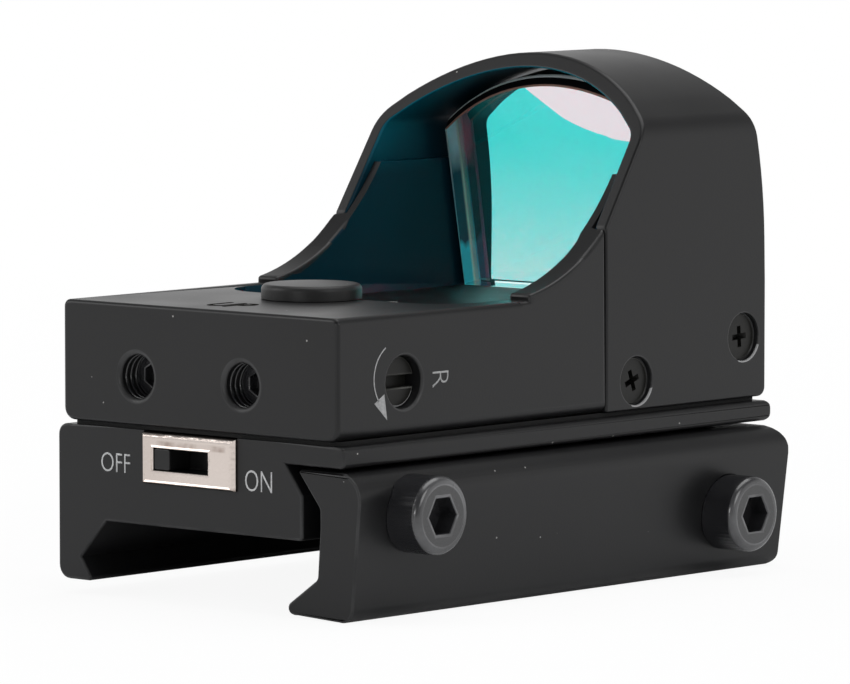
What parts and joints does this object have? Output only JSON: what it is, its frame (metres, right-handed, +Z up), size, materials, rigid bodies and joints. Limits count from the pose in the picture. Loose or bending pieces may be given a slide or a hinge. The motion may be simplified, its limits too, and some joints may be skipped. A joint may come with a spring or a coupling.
{
  "type": "red dot finder",
  "caption": "Compact reflex red dot finder: deck with dial and slide switch, hooded tilted coated lens with swept wings, and a clamp foot with a sliding jaw for an accessory rail.",
  "frame": {"origin": "on the rail seat (underside of the clamp foot's block), on the centre line and half way along the sight", "axes": "+Y along the line of sight towards the target, +X to the user's right (clamp screw heads), +Z up"},
  "size_m": [0.0316, 0.0477, 0.0377],
  "materials": {
    "black_anodised": "matte black anodised",
    "black_steel": "black oxide",
    "nickel": "bright nickel plate",
    "spring_steel": "plain spring steel",
    "black_plastic": "moulded black nylon",
    "brass": "machined",
    "rubber": "die-cut sheet",
    "board": "glass-epoxy board with solder mask",
    "lens_glass": "polished, teal dichroic coating at the cemented face",
    "emitter": "clear epoxy"
  },
  "bodies": {
    "sight": {"mount_base": "black_anodised", "base_gasket": "rubber", "switch_frame": "nickel", "switch_housing": "black_plastic", "switch_terminals": "brass", "coin_cell": "nickel", "cell_contact": "brass", "cell_spring": "brass", "circuit_board": "board", "body_screws": "black_steel", "sight_body": "black_anodised", "hood": "black_anodised", "hood_screws": "black_steel", "lens_rear": "lens_glass", "lens_front": "lens_glass"},
    "jaw": {"clamp_jaw": "black_anodised"},
    "rear_screw": {"clamp_screw_rear": "black_steel"},
    "front_screw": {"clamp_screw_front": "black_steel"},
    "knob": {"switch_knob": "black_plastic"},
    "dial": {"elevation_dial": "black_anodised", "dial_clip": "spring_steel"},
    "lift": {"elevation_slide": "brass"},
    "carriage": {"led_carriage": "black_plastic", "led_emitter": "emitter"},
    "windage": {"windage_screw": "black_steel", "windage_clip": "spring_steel"},
    "nut": {"windage_nut": "brass"},
    "left_pad": {"lock_pad_left": "brass"},
    "left_lock": {"lock_screw_left": "black_steel"},
    "right_pad": {"lock_pad_right": "brass"},
    "right_lock": {"lock_screw_right": "black_steel"}
  },
  "joints": [
    {"name": "jaw_slide", "type": "slide", "parent": "sight", "child": "jaw", "axis": [1, 0, 0], "range_m": [-0.0007, 0.002]},
    {"name": "rear_screw_turn", "type": "hinge", "parent": "jaw", "child": "rear_screw", "pos_m": [0.015, -0.0179, 0.0019], "axis": [1, 0, 0], "range_deg": [-504, 1440]},
    {"name": "front_screw_turn", "type": "hinge", "parent": "jaw", "child": "front_screw", "pos_m": [0.015, 0.0168, -0.0009], "axis": [1, 0, 0], "range_deg": [-504, 1440]},
    {"name": "switch_slide", "type": "slide", "parent": "sight", "child": "knob", "axis": [1, 0, 0], "range_m": [0, 0.0036]},
    {"name": "elevation_turn", "type": "hinge", "parent": "sight", "child": "dial", "pos_m": [0, -0.0117, 0.016], "axis": [0, 0, 1], "range_deg": [-360, 360]},
    {"name": "elevation_lift", "type": "slide", "parent": "sight", "child": "lift", "axis": [0, 0, 1], "range_m": [-0.0004, 0.0004]},
    {"name": "windage_turn", "type": "hinge", "parent": "sight", "child": "windage", "pos_m": [0.011, -0.0166, 0.0108], "axis": [1, 0, 0], "range_deg": [-360, 360]},
    {"name": "windage_nut_slide", "type": "slide", "parent": "sight", "child": "nut", "axis": [1, 0, 0], "range_m": [-0.00035, 0.00035]},
    {"name": "carriage_slide", "type": "slide", "parent": "lift", "child": "carriage", "axis": [1, 0, 0], "range_m": [-0.00035, 0.00035]},
    {"name": "left_pad_slide", "type": "slide", "parent": "sight", "child": "left_pad", "axis": [0, -1, 0], "range_m": [0, 0.00075]},
    {"name": "left_lock_turn", "type": "hinge", "parent": "left_pad", "child": "left_lock", "pos_m": [-0.006, -0.0215, 0.01048], "axis": [0, -1, 0], "range_deg": [0, 540]},
    {"name": "right_pad_slide", "type": "slide", "parent": "sight", "child": "right_pad", "axis": [0, -1, 0], "range_m": [0, 0.00075]},
    {"name": "right_lock_turn", "type": "hinge", "parent": "right_pad", "child": "right_lock", "pos_m": [0.0041, -0.0215, 0.01048], "axis": [0, -1, 0], "range_deg": [0, 540]}
  ],
  "couplings": [
    {"joint": "rear_screw_turn", "follows": "jaw_slide", "rad_per_m": 12566},
    {"joint": "front_screw_turn", "follows": "jaw_slide", "rad_per_m": 12566},
    {"joint": "elevation_turn", "follows": "elevation_lift", "rad_per_m": -15708},
    {"joint": "windage_turn", "follows": "windage_nut_slide", "rad_per_m": -17952},
    {"joint": "carriage_slide", "follows": "windage_nut_slide", "ratio": 1},
    {"joint": "left_lock_turn", "follows": "left_pad_slide", "rad_per_m": 12566},
    {"joint": "right_lock_turn", "follows": "right_pad_slide", "rad_per_m": 12566}
  ]
}
